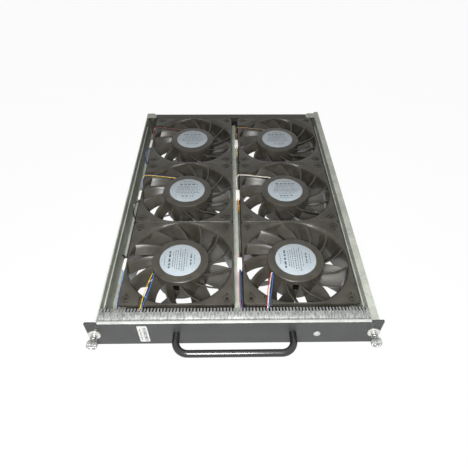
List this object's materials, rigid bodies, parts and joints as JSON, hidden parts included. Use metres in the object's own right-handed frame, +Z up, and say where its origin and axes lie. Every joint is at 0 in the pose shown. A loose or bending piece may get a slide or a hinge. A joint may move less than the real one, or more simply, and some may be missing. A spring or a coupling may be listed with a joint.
{
  "type": "fan tray",
  "caption": "Hot-swap fan tray: square axial fans in rows in a folded steel tray, with a painted front panel, bow handle, captive thumbscrews and a finger gasket.",
  "frame": {"origin": "bottom centre of the bounding box, on the plane of the tray's underside", "axes": "+Y from the handle to the rear connector, +X to the right seen from the front panel, +Z up out of the open top"},
  "size_m": [0.298, 0.4282, 0.0416],
  "materials": {
    "galvanised_steel": "galvanised, dull spangle",
    "panel_paint": "satin dark grey paint",
    "spring_metal": "bright spring strip and wire",
    "black_paint": "satin black",
    "black_moulding": "glass-filled moulding",
    "lens_plastic": "frosted lens",
    "sticker_film": "printed film, left blank",
    "nickel_plate": "bright nickel",
    "zinc_steel": "zinc-plated",
    "connector_nylon": "natural nylon",
    "wire_insulation": "coloured insulation",
    "circuit_board": "solder resist",
    "bearing_steel": "ground steel",
    "fan_plastic": "satin glass-filled plastic",
    "rotor_plastic": "glossy moulded plastic",
    "copper_winding": "enamelled copper on steel laminations"
  },
  "bodies": {
    "tray": {"tray_pan": "galvanised_steel", "gasket_carrier": "galvanised_steel", "centre_rail": "galvanised_steel", "front_panel": "panel_paint", "emi_gasket": "spring_metal", "left_spring": "spring_metal", "right_spring": "spring_metal", "rear_panel": "black_paint", "handle": "black_paint", "rear_connector": "black_moulding", "led_lens": "lens_plastic", "panel_sticker": "sticker_film", "fan_labels": "sticker_film", "screw_ferrules": "nickel_plate", "handle_screws": "zinc_steel", "fan_screws": "zinc_steel", "rivets": "zinc_steel", "lead_connectors": "connector_nylon", "left_loom": "wire_insulation", "centre_loom": "wire_insulation", "led_cable": "wire_insulation", "motor_boards": "circuit_board", "fan_bearings": "bearing_steel", "fan_1_frame": "fan_plastic", "fan_1_stator": "copper_winding", "fan_1_lead": "wire_insulation", "fan_2_frame": "fan_plastic", "fan_2_stator": "copper_winding", "fan_2_lead": "wire_insulation", "fan_3_frame": "fan_plastic", "fan_3_stator": "copper_winding", "fan_3_lead": "wire_insulation", "fan_4_frame": "fan_plastic", "fan_4_stator": "copper_winding", "fan_4_lead": "wire_insulation", "fan_5_frame": "fan_plastic", "fan_5_stator": "copper_winding", "fan_5_lead": "wire_insulation", "fan_6_frame": "fan_plastic", "fan_6_stator": "copper_winding", "fan_6_lead": "wire_insulation"},
    "rotor_1": {"fan_1_rotor": "rotor_plastic", "fan_1_shaft": "bearing_steel"},
    "rotor_2": {"fan_2_rotor": "rotor_plastic", "fan_2_shaft": "bearing_steel"},
    "rotor_3": {"fan_3_rotor": "rotor_plastic", "fan_3_shaft": "bearing_steel"},
    "rotor_4": {"fan_4_rotor": "rotor_plastic", "fan_4_shaft": "bearing_steel"},
    "rotor_5": {"fan_5_rotor": "rotor_plastic", "fan_5_shaft": "bearing_steel"},
    "rotor_6": {"fan_6_rotor": "rotor_plastic", "fan_6_shaft": "bearing_steel"},
    "left_ring": {"left_snap_ring": "spring_metal"},
    "left_screw": {"left_thumbscrew": "nickel_plate"},
    "right_ring": {"right_snap_ring": "spring_metal"},
    "right_screw": {"right_thumbscrew": "nickel_plate"}
  },
  "joints": [
    {"name": "rotor_1_spin", "type": "hinge", "parent": "tray", "child": "rotor_1", "pos_m": [-0.06, -0.10593, 0.0042], "axis": [0, 0, 1], "continuous": true},
    {"name": "rotor_2_spin", "type": "hinge", "parent": "tray", "child": "rotor_2", "pos_m": [-0.06, 0.01457, 0.0042], "axis": [0, 0, 1], "continuous": true},
    {"name": "rotor_3_spin", "type": "hinge", "parent": "tray", "child": "rotor_3", "pos_m": [-0.06, 0.13508, 0.0042], "axis": [0, 0, 1], "continuous": true},
    {"name": "rotor_4_spin", "type": "hinge", "parent": "tray", "child": "rotor_4", "pos_m": [0.07, -0.10593, 0.0042], "axis": [0, 0, 1], "continuous": true},
    {"name": "rotor_5_spin", "type": "hinge", "parent": "tray", "child": "rotor_5", "pos_m": [0.07, 0.01457, 0.0042], "axis": [0, 0, 1], "continuous": true},
    {"name": "rotor_6_spin", "type": "hinge", "parent": "tray", "child": "rotor_6", "pos_m": [0.07, 0.13508, 0.0042], "axis": [0, 0, 1], "continuous": true},
    {"name": "left_screw_slide", "type": "slide", "parent": "tray", "child": "left_ring", "axis": [0, 1, 0], "range_m": [0, 0.0055], "stiffness_N_per_m": 300, "springref_m": -0.002, "deforming": ["left_spring"]},
    {"name": "left_screw_turn", "type": "hinge", "parent": "left_ring", "child": "left_screw", "pos_m": [-0.1425, -0.18793, 0.02], "axis": [0, 1, 0], "continuous": true},
    {"name": "right_screw_slide", "type": "slide", "parent": "tray", "child": "right_ring", "axis": [0, 1, 0], "range_m": [0, 0.0055], "stiffness_N_per_m": 300, "springref_m": -0.002, "deforming": ["right_spring"]},
    {"name": "right_screw_turn", "type": "hinge", "parent": "right_ring", "child": "right_screw", "pos_m": [0.1425, -0.18793, 0.02], "axis": [0, 1, 0], "continuous": true}
  ]
}
